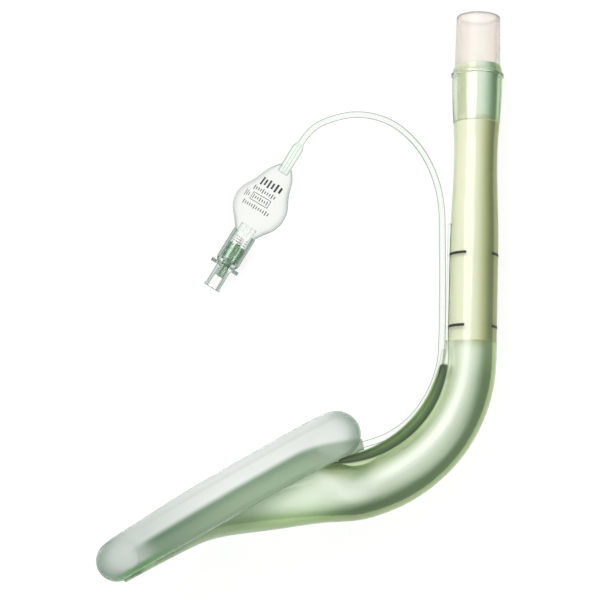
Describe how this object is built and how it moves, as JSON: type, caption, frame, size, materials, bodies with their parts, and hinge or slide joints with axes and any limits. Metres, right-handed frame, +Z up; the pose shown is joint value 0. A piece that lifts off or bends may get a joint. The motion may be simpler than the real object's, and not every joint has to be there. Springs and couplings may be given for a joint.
{
  "type": "laryngeal mask airway",
  "caption": "Preformed green-tinted airway tube with an inflatable ring cuff round a bowl, a 15 mm connector and a pilot line with balloon and check valve.",
  "frame": {"origin": "on the surface that the airway lies on, under the middle of the box of the tube, cuff and connector", "axes": "+Y along the straight tube towards the open end of the connector, +Z up from the surface, the cuff at -X"},
  "size_m": [0.1298, 0.1984, 0.054],
  "materials": {
    "tube_soft": "soft translucent",
    "cuff_film": "frosted film",
    "connector_hard": "satin",
    "bite_block_hard": "satin",
    "clear_line": "clear",
    "port_green": "clear",
    "balloon_film": "clear film",
    "valve_clear": "clear",
    "core_green": "satin",
    "seal_black": "matte",
    "spring_steel": "bright"
  },
  "bodies": {
    "airway": {"airway_tube": "tube_soft", "connector": "connector_hard", "bite_block": "bite_block_hard", "cuff": "cuff_film", "pilot_line": "clear_line", "balloon_port": "port_green", "pilot_balloon": "balloon_film", "valve_body": "valve_clear", "valve_cap": "valve_clear", "valve_spring": "spring_steel"},
    "valve_plunger": {"valve_core": "core_green", "valve_seal": "seal_black"}
  },
  "joints": [
    {"name": "valve_slide", "type": "slide", "parent": "airway", "child": "valve_plunger", "axis": [0.5107, 0.8597, 0], "range_m": [0, 0.0015], "stiffness_N_per_m": 100, "springref_m": -0.001, "deforming": ["valve_spring"]}
  ]
}
